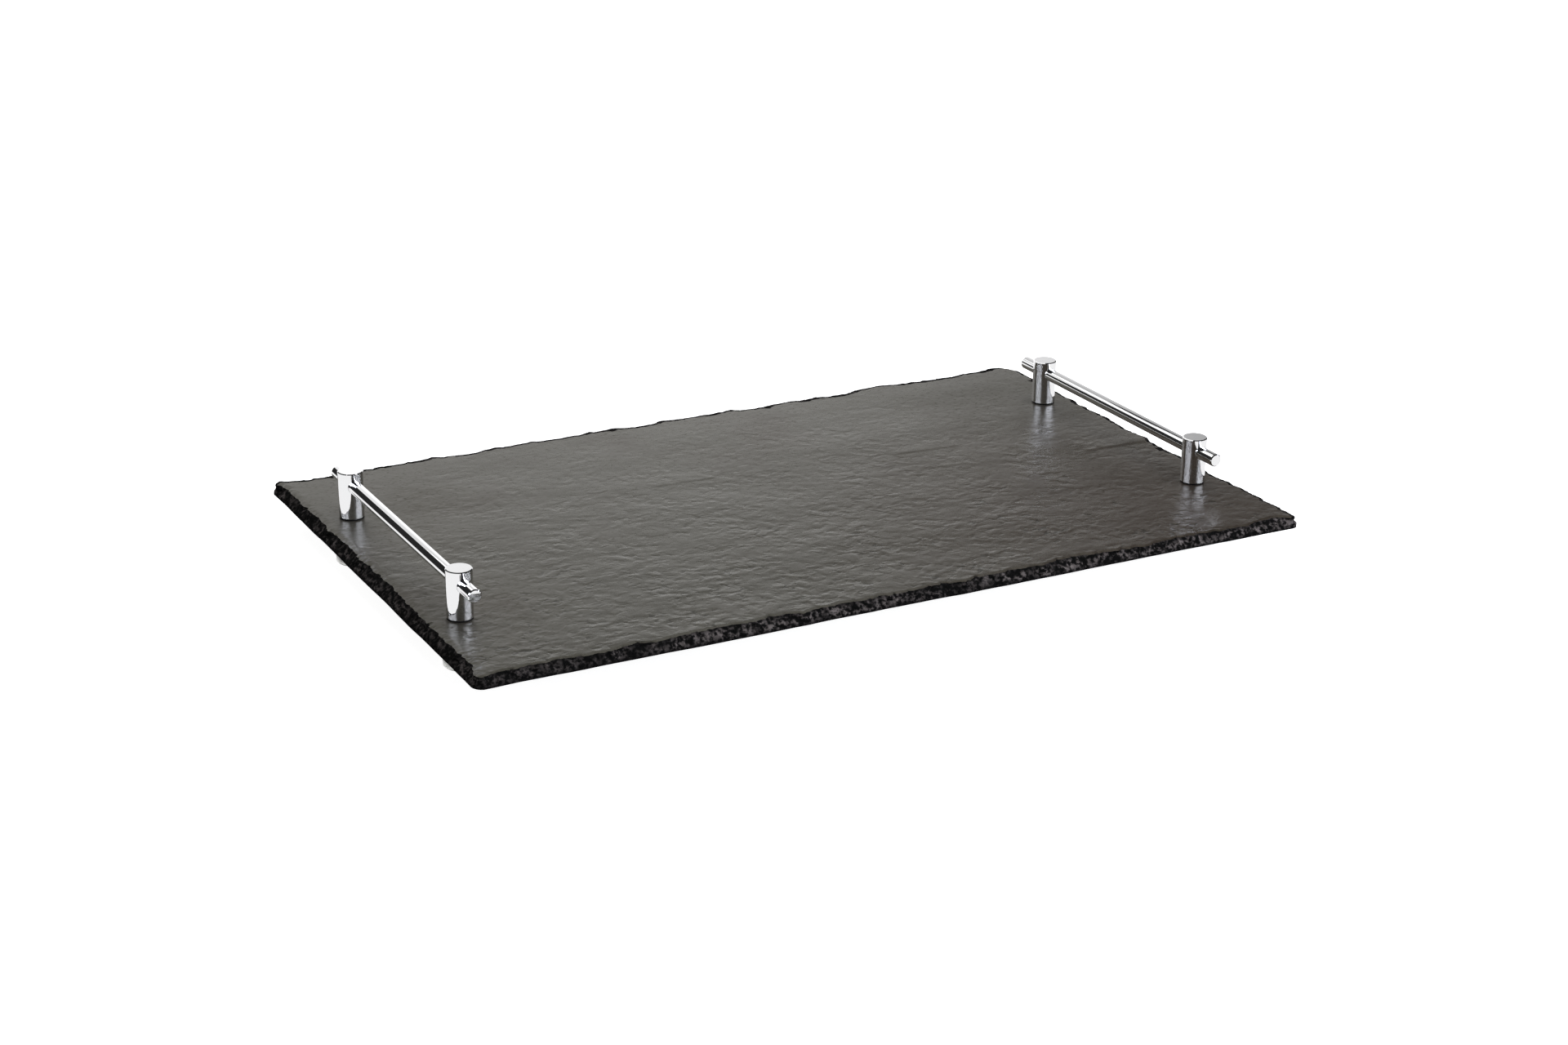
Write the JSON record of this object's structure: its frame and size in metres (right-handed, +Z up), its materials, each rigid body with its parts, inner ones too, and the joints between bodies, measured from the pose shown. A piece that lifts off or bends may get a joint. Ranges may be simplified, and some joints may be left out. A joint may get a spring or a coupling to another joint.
{
  "type": "slate serving board",
  "caption": "Rectangular slate serving board with a hand-dressed edge, a chrome bar handle on posts along each short side and screwed-on feet that lift it off the table.",
  "frame": {"origin": "on the table plane under the feet, below the middle of the slate", "axes": "+X along the long side to the right handle, +Y to the rear long side, +Z up"},
  "size_m": [0.53, 0.325, 0.057],
  "materials": {
    "slate": "split face, oiled",
    "handle_chrome": "polished",
    "gasket_rubber": "matt",
    "foot_plastic": "translucent satin",
    "fixing_steel": "bright plain"
  },
  "bodies": {
    "root": {"slate_board": "slate", "left_rail": "handle_chrome", "right_rail": "handle_chrome", "left_front_post": "handle_chrome", "left_front_gasket": "gasket_rubber", "left_front_foot": "foot_plastic", "left_front_screw": "fixing_steel", "left_front_washer": "fixing_steel", "left_front_grub_screw": "fixing_steel", "left_rear_post": "handle_chrome", "left_rear_gasket": "gasket_rubber", "left_rear_foot": "foot_plastic", "left_rear_screw": "fixing_steel", "left_rear_washer": "fixing_steel", "left_rear_grub_screw": "fixing_steel", "right_front_post": "handle_chrome", "right_front_gasket": "gasket_rubber", "right_front_foot": "foot_plastic", "right_front_screw": "fixing_steel", "right_front_washer": "fixing_steel", "right_front_grub_screw": "fixing_steel", "right_rear_post": "handle_chrome", "right_rear_gasket": "gasket_rubber", "right_rear_foot": "foot_plastic", "right_rear_screw": "fixing_steel", "right_rear_washer": "fixing_steel", "right_rear_grub_screw": "fixing_steel"}
  },
  "joints": []
}
